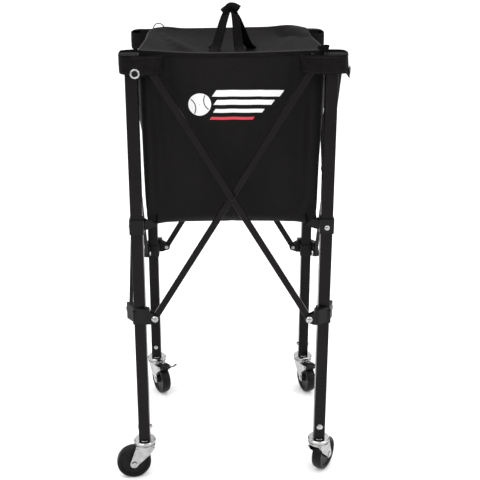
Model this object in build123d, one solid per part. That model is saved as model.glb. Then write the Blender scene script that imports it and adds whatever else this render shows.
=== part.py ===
"""Folding wheeled hopper cart for tennis balls.

Four square-tube legs stand on swivel casters. On each side two flat bars cross as scissors between
the leg tops and sliding brackets lower down, so the frame folds evenly to a narrow bundle. A zip-top
fabric bag hangs inside the upper half of the frame from straps at the four leg tops.

Millimetres, +Z up, -Y to the front. The origin is on the floor at the centre of the leg square.
The four corners, and the four sides, are copies of one another, each turned 90 degrees from the last.
"""

from build123d import *
from math import acos, atan2, cos, degrees, hypot, radians, sin
import os

os.makedirs("parts", exist_ok=True)

# Frame
OUTER_WIDTH = 431.8  # across the outsides of the legs, 17 inch
TUBE = 25.4  # square leg tube, 1 inch
TUBE_WALL = 1.2
TUBE_CORNER = 2.0
LEG_AXIS = (OUTER_WIDTH - TUBE) / 2
LEG_FACE = OUTER_WIDTH / 2
LEG_BOTTOM = 98.0
LEG_TOP = 986.0

# Scissor bars
PIN_INSET = 33.9  # from a leg's axis to its bar pins
PIN_U = LEG_AXIS - PIN_INSET
PIN_TOP_Z = 970.7
PIN_LOW_Z = 413.0
BAR_HEIGHT = 14.0
BAR_THICK = 8.0
BAR_WALL = 1.3
BAR_CORNER = 1.8
BAR_INNER_W = 218.0  # centre planes of the inner and outer bar, from the cart's centre
BAR_OUTER_W = 226.5
BAR_LENGTH = hypot(2 * PIN_U, PIN_TOP_Z - PIN_LOW_Z)
BAR_ANGLE = degrees(acos(2 * PIN_U / BAR_LENGTH))
CROSSING_Z = (PIN_TOP_Z + PIN_LOW_Z) / 2
PIN_R = 3.0
RUNNING = 0.05  # radial clearance of a pin in what turns on it

# Moulded brackets
SLEEVE = 31.0  # outside of a sleeve around a leg
FIXED_GAP = 0.1
SLIDING_GAP = 0.25
CHEEK = 3.0
CHEEK_GAP = 0.3
LUG_R = 9.0
LUG_WEB_U = PIN_U + 10.5  # the web starts clear of the bar's square end
SLIDER_LUG_RISE = 23.0  # above and below the pin
SLIDER_LUG_DROP = 13.0
LUG_SHOULDER = 8.0
TOP_BRACKET_Z = (952.0, 988.0)
MID_BRACKET_Z = (607.0, 640.0)
SLIDER_Z = (397.0, 427.0)
MID_BOLT_Z = 621.0
FOOT_BOLT_Z = 130.0
EAR_OUT = 45.0  # from the leg's axis to the ear's pad, along the corner's diagonal
EAR_PAD = 3.0
EAR_HALF = 9.5
EAR_HALF_HEIGHT = 10.0
EAR_ROOT = 13.5
EAR_SLOPE = (30.0, -5.0)  # where the cheeks start to fall away, and how high they end

# Fasteners
FOOT_BOLT_R = 3.0
FOOT_HEAD = (7.0, 3.6)  # radius and height of each domed head
MID_BOLT_R = 2.5
MID_HEAD = (5.5, 3.0)
EAR_BOLT_R = 2.5
EAR_HEAD = (6.0, 3.4)
PIVOT_HEAD = (7.5, 5.0)
CROSSING_HEAD = (6.5, 3.0)
RIVET_HEAD = 1.2
RIVET_HEAD_R = 5.5

# Casters
WHEEL_R = 40.0
WHEEL_WIDTH = 25.0
TRAIL = 27.0
AXLE_R = 4.0
FORK_PLATE = 2.2
FORK_INSIDE = 15.0  # from the wheel's middle plane to a fork plate
FORK_OUTSIDE = FORK_INSIDE + FORK_PLATE
FORK_SHOULDER = 9.0  # radius where the crown bends down into a plate
FORK_BOSS = 9.5
CROWN_Z = (83.0, 86.0)
CROWN_R = 24.5
LOWER_RACE_TOP = 90.0
UPPER_RACE_Z = (91.5, 97.0)
RACE_R = 25.5
KING_PIN_R = 5.0
STEM_R = 9.5
BRAKE_PIVOT = (50.5, 82.0)  # behind the swivel axis and above the floor
BRAKE_PIN_R = 2.5
BRAKE_BARREL_R = 5.0
BRAKE_SWING = 22.0
CAM_R = 2.0
CAM_REACH = 5.65
PEDAL_TILT = 24.0
PEDAL_END = 18.0
PEDAL_THICK = 2.2
# direction in which each wheel trails behind its swivel, in degrees from +X
HEADINGS = {"front_right": 57.0, "rear_right": -71.0, "rear_left": -62.0, "front_left": 188.0}
BRAKED = ("rear_left", "rear_right")

# Bag
BAG_HALF = 187.0
CLOTH = 3.0
BAG_BOTTOM_Z = 635.0
BAG_TOP_Z = 989.5
LID_Z = 990.5
LID_THICK = 2.0
LID_HEM = 30.0  # strip along the rear edge that stays when the lid is opened
SEAM = 0.3
STRAP = 1.5
STRAP_Z = (950.0, 990.2)
STRAP_END = 139.5  # from the cart's middle to a strap's inboard end
HANDLE_FOOT = 45.0  # from the lid's middle line to a loop's stitched feet
HANDLE_TOP_GAP = 3.0
HANDLE_RISE = 52.0
WEBBING = 2.0
WRAP = (34.0, 16.0, 27.0)

CORNERS = {"front_right": 0, "rear_right": 1, "rear_left": 2, "front_left": 3}
SIDES = {"front": 0, "right": 1, "rear": 2, "left": 3}


def save(name, *shapes):
    """One STEP file per sub-part, holding one or more separate solids."""
    solids = [s for shape in shapes for s in shape.solids()]
    group = solids[0] if len(solids) == 1 else Compound(solids)
    export_step(group, f"parts/{name}.step")


def span(x, y, z):
    """A box from ranges (low, high) along X, Y and Z."""
    size = [high - low for low, high in (x, y, z)]
    middle = [(high + low) / 2 for low, high in (x, y, z)]
    return Pos(*middle) * Box(*size)


def rod(radius, start, end):
    """A round bar between two points."""
    a, b = Vector(*start), Vector(*end)
    return extrude(Plane(origin=a, z_dir=b - a) * Circle(radius), (b - a).length)


def dome(radius, height, base, away):
    """A bolt's domed head: a short rim, then a spherical cap, standing on base and pointing away."""
    sagitta = 0.7 * height
    ball = (radius**2 + sagitta**2) / (2 * sagitta)
    cap = Pos(0, 0, height - ball) * Sphere(ball)
    cap &= Pos(0, 0, height / 2) * Cylinder(radius, height)
    return Plane(origin=Vector(*base), z_dir=Vector(*away)).location * cap


def hexagon(across, height, base, away):
    """A nut's or bolt head's hexagonal prism."""
    plane = Plane(origin=Vector(*base), z_dir=Vector(*away))
    return extrude(plane * RegularPolygon(across / 2, 6, major_radius=False), height)


def tube(size, wall, corner, length):
    """A square tube standing on the origin."""
    outside = RectangleRounded(size, size, corner)
    inside = RectangleRounded(size - 2 * wall, size - 2 * wall, corner - 0.8)
    return extrude(outside - inside, length)


# ---------------------------------------------------------------- legs and their brackets
# Every corner part is drawn at the front right corner. Its front face looks to -Y.


def leg():
    """Square tube, drilled through for the foot bolt and in front for the middle bracket's screw."""
    body = Pos(LEG_AXIS, -LEG_AXIS, LEG_BOTTOM) * tube(
        TUBE, TUBE_WALL, TUBE_CORNER, LEG_TOP - LEG_BOTTOM
    )
    front = -LEG_FACE - 5
    body -= rod(FOOT_BOLT_R + RUNNING, (LEG_AXIS, front, FOOT_BOLT_Z), (LEG_AXIS, -150, FOOT_BOLT_Z))
    body -= rod(MID_BOLT_R + RUNNING, (LEG_AXIS, front, MID_BOLT_Z), (LEG_AXIS, -LEG_AXIS, MID_BOLT_Z))
    return body


def sleeve(z_range, gap, cap=0.0):
    """Rounded square collar around a leg, with a closed top if cap is given."""
    low, high = z_range
    opening = TUBE + 2 * gap
    block = extrude(RectangleRounded(SLEEVE, SLEEVE, 3), high - low)
    block -= extrude(RectangleRounded(opening, opening, 1.5), high - low - cap)
    return Pos(LEG_AXIS, -LEG_AXIS, low) * block


def cheeks(w_bar):
    """Ranges, outward from the cart's centre, of the two cheeks that hold a bar."""
    inner = w_bar - BAR_THICK / 2 - CHEEK_GAP
    outer = w_bar + BAR_THICK / 2 + CHEEK_GAP
    return (inner - CHEEK, inner), (outer, outer + CHEEK)


def front_lug(w_bar, z, rise=LUG_R, drop=LUG_R):
    """Two cheeks and their web, reaching along the front from the right leg to the bar's pin."""
    inner, outer = cheeks(w_bar)
    z_range = (z - drop, z + rise)
    beside_leg = LEG_AXIS - TUBE / 2 - 0.6
    outboard = LEG_AXIS + TUBE / 2
    plan = [
        (LUG_WEB_U, -inner[0]),
        (beside_leg, -inner[0]),
        (beside_leg, -LEG_FACE - 1),
        (outboard - 2.7, -LEG_FACE - 1),
        (beside_leg + 0.6, -outer[1]),
        (LUG_WEB_U, -outer[1]),
    ]
    lug = Pos(0, 0, z_range[0]) * extrude(make_face(Polyline(*plan, close=True)), rise + drop)
    for low, high in (inner, outer):
        lug += span((PIN_U - LUG_R, LUG_WEB_U + 1), (-high, -low), z_range)
    side_view = [
        (PIN_U, z - LUG_R),
        (LUG_WEB_U, z - drop),
        (outboard, z - drop),
        (outboard, z + rise),
        (LUG_WEB_U + 2, z + rise),
        (LUG_WEB_U, z + max(rise - LUG_SHOULDER, LUG_R)),
        (PIN_U, z + LUG_R),
    ]
    outline = make_face(Polyline(*side_view, close=True)) + Pos(PIN_U, z) * Circle(LUG_R)
    lug &= extrude(Plane.XZ * outline, 2 * LEG_AXIS)
    return lug - rod(PIN_R + RUNNING, (PIN_U, -inner[0] + 5, z), (PIN_U, -outer[1] - 5, z))


def right_lug(*sizes):
    """The same lug on the leg's right-hand face, reaching backward along the cart's right side."""
    return mirror(front_lug(*sizes), Plane(origin=(0, 0, 0), z_dir=(1, 1, 0)))


def top_bracket():
    """Capped collar with a lug for the front's inner bar and one for the right side's outer bar."""
    body = sleeve(TOP_BRACKET_Z, FIXED_GAP, cap=TOP_BRACKET_Z[1] - LEG_TOP)
    body += front_lug(BAR_INNER_W, PIN_TOP_Z)
    body += right_lug(BAR_OUTER_W, PIN_TOP_Z)
    return body


def slider():
    """Collar that runs on the leg, with lugs for the bars' lower ends."""
    body = sleeve(SLIDER_Z, SLIDING_GAP)
    body += front_lug(BAR_OUTER_W, PIN_LOW_Z, SLIDER_LUG_RISE, SLIDER_LUG_DROP)
    body += right_lug(BAR_INNER_W, PIN_LOW_Z, SLIDER_LUG_RISE, SLIDER_LUG_DROP)
    # the opening again, so that a lug's root leaves the leg free to slide
    opening = TUBE + 2 * SLIDING_GAP
    low = PIN_LOW_Z - SLIDER_LUG_DROP
    reach = SLIDER_LUG_DROP + SLIDER_LUG_RISE
    return body - Pos(LEG_AXIS, -LEG_AXIS, low) * extrude(RectangleRounded(opening, opening, 1.5), reach)


def on_diagonal(shape):
    """Places a shape drawn with +X running from the leg's axis to the cart's centre."""
    return Pos(LEG_AXIS, -LEG_AXIS, 0) * Rot(0, 0, 135) * shape


def mid_bracket():
    """Fixed collar with a channel-shaped ear that holds the bag's lower corner."""
    low, high = MID_BOLT_Z - EAR_HALF_HEIGHT, MID_BOLT_Z + EAR_HALF_HEIGHT
    pad_end = EAR_OUT + EAR_PAD
    slope_start, slope_end = EAR_SLOPE
    ear = span((EAR_OUT, pad_end), (-EAR_HALF, EAR_HALF), (low, high))
    outline = [
        (EAR_ROOT, low),
        (pad_end, low),
        (pad_end, MID_BOLT_Z + slope_end),
        (slope_start, high),
        (EAR_ROOT, high),
    ]
    cheek = make_face(Polyline(*outline, close=True))
    for outer_face in (EAR_HALF, CHEEK - EAR_HALF):
        # Plane.XZ looks along +Y, so it extrudes toward -Y
        ear += Pos(0, outer_face, 0) * extrude(Plane.XZ * cheek, CHEEK)
    ear -= rod(EAR_BOLT_R + RUNNING, (EAR_OUT - 5, 0, MID_BOLT_Z), (pad_end + 5, 0, MID_BOLT_Z))
    body = sleeve(MID_BRACKET_Z, FIXED_GAP) + on_diagonal(ear)
    hole = MID_BOLT_R + RUNNING
    return body - rod(hole, (LEG_AXIS, -LEG_FACE - 10, MID_BOLT_Z), (LEG_AXIS, -LEG_AXIS, MID_BOLT_Z))


def leg_hardware():
    """Plated steel on one leg: foot bolt, screw, ear bolt, top rivets, and the caster's stem and race."""
    back = -LEG_AXIS + TUBE / 2
    foot = rod(FOOT_BOLT_R, (LEG_AXIS, -LEG_FACE, FOOT_BOLT_Z), (LEG_AXIS, back + 6, FOOT_BOLT_Z))
    foot += dome(*FOOT_HEAD, (LEG_AXIS, -LEG_FACE, FOOT_BOLT_Z), (0, -1, 0))
    foot += hexagon(10.0, 4.5, (LEG_AXIS, back + 0.05, FOOT_BOLT_Z), (0, 1, 0))

    front = -LEG_AXIS - SLEEVE / 2
    middle = rod(MID_BOLT_R, (LEG_AXIS, front, MID_BOLT_Z), (LEG_AXIS, -LEG_AXIS - 4, MID_BOLT_Z))
    middle += dome(*MID_HEAD, (LEG_AXIS, front, MID_BOLT_Z), (0, -1, 0))

    pad_end = EAR_OUT + EAR_PAD
    ear = rod(EAR_BOLT_R, (EAR_OUT, 0, MID_BOLT_Z), (pad_end + 7, 0, MID_BOLT_Z))
    ear += dome(*EAR_HEAD, (EAR_OUT, 0, MID_BOLT_Z), (-1, 0, 0))
    ear += hexagon(8.0, 3.6, (pad_end + 2.2, 0, MID_BOLT_Z), (1, 0, 0))

    rivets = []
    for w_bar, turned in ((BAR_INNER_W, False), (BAR_OUTER_W, True)):
        inner, outer = cheeks(w_bar)
        pin = rod(PIN_R, (PIN_U, -inner[0], PIN_TOP_Z), (PIN_U, -outer[1], PIN_TOP_Z))
        for face, away in ((inner[0], 1), (outer[1], -1)):
            end = -face + away * RIVET_HEAD
            pin += rod(RIVET_HEAD_R, (PIN_U, -face, PIN_TOP_Z), (PIN_U, end, PIN_TOP_Z))
        mirror_plane = Plane(origin=(0, 0, 0), z_dir=(1, 1, 0))
        rivets.append(mirror(pin, mirror_plane) if turned else pin)
    return [foot, middle, on_diagonal(ear), *rivets, caster_stem()]


def caster_stem():
    """Stem inside the leg, held by the foot bolt, with the fixed race and the king pin below it."""
    low, high = UPPER_RACE_Z
    stem = rod(STEM_R, (0, 0, LEG_BOTTOM), (0, 0, FOOT_BOLT_Z + 18))
    stem += rod(14.0, (0, 0, high - 1), (0, 0, LEG_BOTTOM))
    race = rod(RACE_R, (0, 0, low), (0, 0, high))
    race = chamfer(race.edges().filter_by(GeomType.CIRCLE).sort_by(Axis.Z)[-1], 2.5)
    stem += race
    stem += rod(KING_PIN_R, (0, 0, CROWN_Z[0] - 3), (0, 0, low + 1))
    stem += rod(8.5, (0, 0, CROWN_Z[0] - 3.5), (0, 0, CROWN_Z[0] - 0.3))
    stem = Pos(LEG_AXIS, -LEG_AXIS, 0) * stem
    hole = FOOT_BOLT_R + RUNNING
    return stem - rod(hole, (LEG_AXIS, -LEG_FACE, FOOT_BOLT_Z), (LEG_AXIS, -150, FOOT_BOLT_Z))


def slider_bolts():
    """The two domed pivot bolts on one slider, each with its nut."""
    bolts = []
    for w_bar, turned in ((BAR_OUTER_W, False), (BAR_INNER_W, True)):
        inner, outer = cheeks(w_bar)
        bolt = rod(PIN_R, (PIN_U, -inner[0] + 3, PIN_LOW_Z), (PIN_U, -outer[1], PIN_LOW_Z))
        bolt += dome(*PIVOT_HEAD, (PIN_U, -outer[1], PIN_LOW_Z), (0, -1, 0))
        bolt += hexagon(9.0, 3.0, (PIN_U, -inner[0], PIN_LOW_Z), (0, 1, 0))
        mirror_plane = Plane(origin=(0, 0, 0), z_dir=(1, 1, 0))
        bolts.append(mirror(bolt, mirror_plane) if turned else bolt)
    return bolts


# ---------------------------------------------------------------- scissor bars, drawn at the front


def bar(w_bar, slope):
    """Flat tube between a top pin and a lower pin. slope is -1 down to the right, 1 down to the left."""
    outside = RectangleRounded(BAR_HEIGHT, BAR_THICK, BAR_CORNER)
    inside = RectangleRounded(BAR_HEIGHT - 2 * BAR_WALL, BAR_THICK - 2 * BAR_WALL, 0.8)
    length = BAR_LENGTH + BAR_HEIGHT
    body = Pos(0, 0, -length / 2) * extrude(outside - inside, length)
    for along in (-BAR_LENGTH / 2, 0, BAR_LENGTH / 2):
        body -= rod(PIN_R + RUNNING, (0, -BAR_THICK, along), (0, BAR_THICK, along))
    lean = slope * (90 - BAR_ANGLE)
    return Pos(0, -w_bar, CROSSING_Z) * Rot(0, lean, 0) * body


def crossing_rivet():
    """Domed rivet through both bars where they cross."""
    front = BAR_OUTER_W + BAR_THICK / 2
    back = BAR_INNER_W - BAR_THICK / 2
    pin = rod(PIN_R, (0, -front, CROSSING_Z), (0, -back + 1.4, CROSSING_Z))
    pin += dome(*CROSSING_HEAD, (0, -front, CROSSING_Z), (0, -1, 0))
    pin += rod(5.0, (0, -back + 0.1, CROSSING_Z), (0, -back + 1.4, CROSSING_Z))
    return pin


# ---------------------------------------------------------------- casters
# Drawn with the swivel axis on Z and the wheel trailing toward +X, then turned to their heading.


def place_caster(shape, corner):
    turn = CORNERS[corner] * 90
    x = LEG_AXIS * (cos(radians(turn)) + sin(radians(turn)))
    y = LEG_AXIS * (sin(radians(turn)) - cos(radians(turn)))
    return Pos(x, y, 0) * Rot(0, 0, HEADINGS[corner]) * shape


def bent_section(half, top, radius):
    """Section across the fork: as wide as half each side, with rounded shoulders below top."""
    return Plane.YZ * RectangleRounded(2 * half, 2 * top, radius)


def fork(braked):
    """Pressed fork: a crown that bends down into two plates, which taper to the axle."""
    low, high = CROWN_Z
    outside = bent_section(FORK_OUTSIDE, high, FORK_SHOULDER)
    inside = bent_section(FORK_INSIDE, low, FORK_SHOULDER - FORK_PLATE)
    yoke = extrude(outside - inside, 2 * CROWN_R, both=True)
    leading = [(18.3, WHEEL_R - 3), (-10.5, 63), (-21, 78), (-23, high)]
    trailing = [(21, high), (36.5, WHEEL_R + 2), (TRAIL, WHEEL_R - 5)]
    plate = make_face(Polyline(*trailing, *leading, close=True)) + Pos(TRAIL, WHEEL_R) * Circle(FORK_BOSS)
    yoke &= extrude(Plane.XZ * plate, CROWN_R, both=True)
    crown = rod(CROWN_R, (0, 0, low), (0, 0, high))
    crown += rod(CROWN_R - 2, (0, 0, high), (0, 0, LOWER_RACE_TOP))
    edge = crown.edges().filter_by(GeomType.CIRCLE).sort_by(Axis.Z)[-1]
    body = chamfer(edge, 1.8) + yoke
    if braked:
        x, z = BRAKE_PIVOT
        ear = [(12, 70), (20, 80), (x, z + 5.5), (x + 5.5, z), (x, z - 5.5), (28, 56)]
        arm = make_face(Polyline(*ear, close=True)) + Pos(x, z) * Circle(5.5)
        for outer_face in (-FORK_INSIDE, FORK_OUTSIDE):
            body += Pos(0, outer_face, 0) * extrude(Plane.XZ * arm, FORK_PLATE)
    body -= rod(KING_PIN_R + RUNNING, (0, 0, low - 1), (0, 0, LOWER_RACE_TOP + 1))
    for radius, (x, z) in holes(braked):
        body -= rod(radius + RUNNING, (x, -30, z), (x, 30, z))
    return body


def holes(braked):
    """Cross pins of a caster: the axle, and the brake's pin if it has one."""
    pins = [(AXLE_R, (TRAIL, WHEEL_R))]
    if braked:
        pins.append((BRAKE_PIN_R, BRAKE_PIVOT))
    return pins


def cross_pins(braked):
    """Axle bolt with head and nut, and the brake's riveted pin."""
    made = []
    for radius, (x, z) in holes(braked):
        pin = rod(radius, (x, -FORK_OUTSIDE, z), (x, FORK_OUTSIDE + 1, z))
        head = 1.5 * radius
        pin += dome(1.9 * radius, 0.8 * radius, (x, -FORK_OUTSIDE, z), (0, -1, 0))
        pin += hexagon(2 * head, 0.9 * radius, (x, FORK_OUTSIDE + 0.05, z), (0, 1, 0))
        made.append(pin)
    return made


def wheel():
    """Moulded wheel with a crowned tread, dished sides and a longer hub."""
    half = WHEEL_WIDTH / 2
    hub = FORK_INSIDE - 0.4
    bore = AXLE_R + RUNNING
    web = half - 4
    rim = WHEEL_R - 9
    side = [(bore, hub), (9, hub), (10.5, web), (rim - 2, web), (rim, half - 1), (WHEEL_R - 4.5, half - 0.6)]
    other_side = [(x, -y) for x, y in reversed(side)]
    shoulder, bend = (WHEEL_R - 0.9, half - 4.2), (WHEEL_R - 2, half - 1.9)
    outline = Polyline(*side)
    outline += ThreePointArc(side[-1], bend, shoulder)
    outline += ThreePointArc(shoulder, (WHEEL_R, 0), (shoulder[0], -shoulder[1]))
    outline += ThreePointArc((shoulder[0], -shoulder[1]), (bend[0], -bend[1]), other_side[0])
    outline += Polyline(*other_side, side[0])
    whole = revolve(make_face(outline), Axis.Y)
    return Pos(TRAIL, 0, WHEEL_R) * whole


def brake_lever():
    """Pedal on a cross barrel, with a cam that turns toward the tread and a thumb tab to one side."""
    x, z = BRAKE_PIVOT
    half = FORK_INSIDE - 0.6
    barrel = rod(BRAKE_BARREL_R, (x, -half, z), (x, half, z))
    cam = atan2(WHEEL_R - z, TRAIL - x) + radians(BRAKE_SWING)
    cam_x, cam_z = x + CAM_REACH * cos(cam), z + CAM_REACH * sin(cam)
    nose = rod(CAM_R, (cam_x, -8, cam_z), (cam_x, 8, cam_z))
    neck = span((0, CAM_REACH), (-8, 8), (-CAM_R, CAM_R))
    nose += Pos(x, 0, z) * Rot(0, -degrees(cam), 0) * neck

    flat = (-PEDAL_THICK / 2, PEDAL_THICK / 2)
    pedal = span((3, PEDAL_END), (-half, half), flat)
    tab_start, tab_bend, tab_end = half - 1, 23, 31
    tab = span((9, PEDAL_END), (tab_start, tab_bend), flat)
    turned_up = span((9, PEDAL_END), (tab_bend - 0.5, tab_end), flat)
    tab += turned_up.rotate(Axis((0, tab_bend, 0), (1, 0, 0)), 28)
    pedal = Pos(x, 0, z) * Rot(0, -PEDAL_TILT, 0) * (pedal + tab)
    return barrel + nose + pedal - rod(BRAKE_PIN_R + RUNNING, (x, -30, z), (x, 30, z))


# ---------------------------------------------------------------- soft parts


def corner_strap():
    """Strap of doubled webbing over the leg top, seen at the front right corner.

    Its front sheet lies over the inner bar's rivet and its side sheet over the outer bar's.
    """
    low, high = STRAP_Z
    front = cheeks(BAR_INNER_W)[1][1] + RIVET_HEAD + 0.4
    side = cheeks(BAR_OUTER_W)[1][1] + RIVET_HEAD + 0.4
    strap = span((STRAP_END, side + STRAP), (-front - STRAP, -front), (low, high))
    strap += span((side, side + STRAP), (-front - STRAP, -STRAP_END), (low, high))
    top = span((BAG_HALF + 1, side + STRAP), (-front - STRAP, -BAG_HALF - 1), (high - STRAP, high))
    return strap + top


def bottom_tab():
    """Webbing tab that the ear's bolt clamps, holding the bag's lower corner."""
    start = EAR_OUT + EAR_PAD + 0.3
    tab = span((start, start + 1.6), (-12, 12), (MID_BOLT_Z - 10, BAG_BOTTOM_Z - 0.5))
    tab -= rod(EAR_BOLT_R + 0.3, (EAR_OUT, 0, MID_BOLT_Z), (EAR_OUT + 15, 0, MID_BOLT_Z))
    return on_diagonal(tab)


def bag_parts():
    """Four walls, a bottom in two halves and a lid in two halves, each a plain sheet."""
    outer, inner = BAG_HALF, BAG_HALF - CLOTH
    wall_z = (BAG_BOTTOM_Z + CLOTH + SEAM, BAG_TOP_Z)
    bottom_z = (BAG_BOTTOM_Z, BAG_BOTTOM_Z + CLOTH)
    lid_z = (LID_Z, LID_Z + LID_THICK)
    full = (-outer, outer)
    between = (-inner + SEAM, inner - SEAM)
    front_half = (-outer, -SEAM)
    hem_y, hem_z = inner + CLOTH / 2, LID_Z + LID_THICK / 2
    hem = span(full, (hem_y - LID_HEM, hem_y), lid_z)
    hem += rod(LID_THICK / 2, (-outer, hem_y, hem_z), (outer, hem_y, hem_z))
    return {
        "bag_front_wall": span(full, (-outer, -inner), wall_z),
        "bag_rear_wall": span(full, (inner, outer), wall_z),
        "bag_left_wall": span((-outer, -inner), between, wall_z),
        "bag_right_wall": span((inner, outer), between, wall_z),
        "bag_bottom_front": span(full, front_half, bottom_z),
        "bag_bottom_rear": span(full, (SEAM, outer), bottom_z),
        "bag_lid_front": span(full, front_half, lid_z),
        "bag_lid_rear": span(full, (SEAM, hem_y - LID_HEM - SEAM), lid_z),
        "bag_lid_hem": hem,
    }


def handle_loop(side):
    """Webbing loop stitched to the lid at two feet. side is -1 for the front loop, 1 for the rear."""
    foot_z = LID_Z + LID_THICK + 0.4
    run = HANDLE_FOOT - HANDLE_TOP_GAP
    length = hypot(run, HANDLE_RISE)
    outside = [(-50, 0), (-17, length), (17, length), (50, 0)]
    inside = [(28, 0), (8, length - 20), (-8, length - 20), (-28, 0)]
    loop = extrude(make_face(Polyline(*outside, *inside, close=True)), WEBBING / 2, both=True)
    lean = degrees(acos(HANDLE_RISE / length))
    upright = Rot(90, 0, 0) * loop
    return Pos(0, side * HANDLE_FOOT, foot_z + 1) * Rot(side * lean, 0, 0) * upright


def grip_wrap():
    """Padded wrap that gathers the tops of both loops."""
    x, y, z = WRAP
    low = LID_Z + LID_THICK + HANDLE_RISE + 3.2
    block = span((-x / 2, x / 2), (-y / 2, y / 2), (low, low + z))
    return fillet(block.edges().filter_by(Axis.X), 5)


def zipper_pull():
    """Slider and tab at the right-hand end of the zip along the bag's front top edge."""
    y = -BAG_HALF - 0.6
    body = span((158, 170), (y - 5, y), (982, 989))
    tab = span((161, 167), (y - 6.6, y - 5), (962, 987))
    return body + tab


# ---------------------------------------------------------------- assembly

for corner, index in CORNERS.items():
    turn = Rot(0, 0, 90 * index)
    save(f"{corner}_leg", turn * leg())
    save(f"{corner}_top_bracket", turn * top_bracket())
    save(f"{corner}_mid_bracket", turn * mid_bracket())
    save(f"{corner}_leg_hardware", *[turn * piece for piece in leg_hardware()])
    save(f"{corner}_slider", turn * slider())
    save(f"{corner}_slider_bolts", *[turn * piece for piece in slider_bolts()])
    save(f"{corner}_straps", turn * corner_strap(), turn * bottom_tab())
    braked = corner in BRAKED
    pins = [place_caster(pin, corner) for pin in cross_pins(braked)]
    save(f"{corner}_caster_fork", place_caster(fork(braked), corner), *pins)
    save(f"{corner}_caster_wheel", place_caster(wheel(), corner))
    if braked:
        save(f"{corner}_brake_lever", place_caster(brake_lever(), corner))

for side, index in SIDES.items():
    turn = Rot(0, 0, 90 * index)
    save(f"{side}_outer_bar", turn * bar(BAR_OUTER_W, -1), turn * crossing_rivet())
    save(f"{side}_inner_bar", turn * bar(BAR_INNER_W, 1))

for name, shape in bag_parts().items():
    save(name, shape)
save("handle_front_loop", handle_loop(-1))
save("handle_rear_loop", handle_loop(1))
save("handle_grip_wrap", grip_wrap())
save("zipper_pull", zipper_pull())
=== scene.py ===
"""Looks of the folding ball cart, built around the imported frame. Metres, +Z up, -Y to the front."""

from math import cos, exp, pi, radians, sin

import bmesh
import bpy
from mathutils import Matrix, Vector, noise
from mathutils.bvhtree import BVHTree


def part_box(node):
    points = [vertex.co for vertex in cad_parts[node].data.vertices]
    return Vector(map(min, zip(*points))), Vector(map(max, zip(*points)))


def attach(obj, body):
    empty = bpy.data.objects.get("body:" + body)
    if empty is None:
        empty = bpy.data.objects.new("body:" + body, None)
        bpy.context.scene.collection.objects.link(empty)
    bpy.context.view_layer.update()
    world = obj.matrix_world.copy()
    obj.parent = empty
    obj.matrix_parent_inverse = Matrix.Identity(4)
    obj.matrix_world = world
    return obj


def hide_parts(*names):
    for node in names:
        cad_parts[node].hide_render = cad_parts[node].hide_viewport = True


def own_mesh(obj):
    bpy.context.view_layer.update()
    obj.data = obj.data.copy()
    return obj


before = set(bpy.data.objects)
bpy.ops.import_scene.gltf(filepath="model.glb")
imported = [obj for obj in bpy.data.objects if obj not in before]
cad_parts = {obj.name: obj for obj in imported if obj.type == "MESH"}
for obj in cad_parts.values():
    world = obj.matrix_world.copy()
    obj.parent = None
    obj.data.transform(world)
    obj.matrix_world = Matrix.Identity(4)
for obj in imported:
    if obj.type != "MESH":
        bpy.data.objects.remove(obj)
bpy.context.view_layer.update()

# ---------------------------------------------------------------- sizes read from the frame

CORNERS = ("front_right", "rear_right", "rear_left", "front_left")
WALL_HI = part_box("bag_front_wall")[1]
HALF = WALL_HI.x  # half the bag's width
BAG_TOP = WALL_HI.z
BAG_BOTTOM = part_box("bag_bottom_front")[0].z
HEM_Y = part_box("bag_lid_rear")[1].y  # where the lid folds open along its rear hem
STRAP_LO, STRAP_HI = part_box("front_right_straps")
STRAP_TOP = STRAP_HI.z - 0.0014
STRAP_DEPTH = 0.037
STRAP_LOW = STRAP_TOP - STRAP_DEPTH
STRAP_IN = 0.1395  # from the cart's middle to a strap's inboard end
CAD_STRAP = 0.0015  # the CAD strap's thickness
SIDE_W = STRAP_HI.x - CAD_STRAP / 2  # the strap over the outer bar's rivet
FRONT_W = -STRAP_LO.y - CAD_STRAP / 2  # the strap over the inner bar's rivet
WRAP_LO, WRAP_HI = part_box("handle_grip_wrap")
HANDLE_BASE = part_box("handle_front_loop")[0].z

UP = Vector((0, 0, 1))


# ---------------------------------------------------------------- camera, light and floor

CAMERA_LENS = 64.4963
CAMERA_SHIFT = -0.0625
CAMERA_PLACE = (-0.024154, -1.943690, 1.237150)
CAMERA_TURN = (1.249285, -0.002355, -0.023095)
SKY_STRENGTH = 1.45
FLOOR_HALF = 14
FLOOR_GREY = 0.95


def add_object(name, data):
    """Puts a camera, light or mesh into the scene."""
    thing = bpy.data.objects.new(name, data)
    bpy.context.scene.collection.objects.link(thing)
    return thing


def make_camera():
    data = bpy.data.cameras.new("camera")
    data.sensor_width = 36.0
    data.lens = CAMERA_LENS
    data.shift_y = CAMERA_SHIFT
    data.clip_end = 50
    camera = add_object("camera", data)
    camera.location = CAMERA_PLACE
    camera.rotation_euler = CAMERA_TURN
    bpy.context.scene.camera = camera


def area_light(name, place, target, size, power):
    data = bpy.data.lights.new(name, "AREA")
    data.shape = "RECTANGLE"
    data.size, data.size_y = size
    data.energy = power
    light = add_object(name, data)
    light.location = place
    light.rotation_euler = (Vector(target) - Vector(place)).to_track_quat("-Z", "Y").to_euler()


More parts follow.
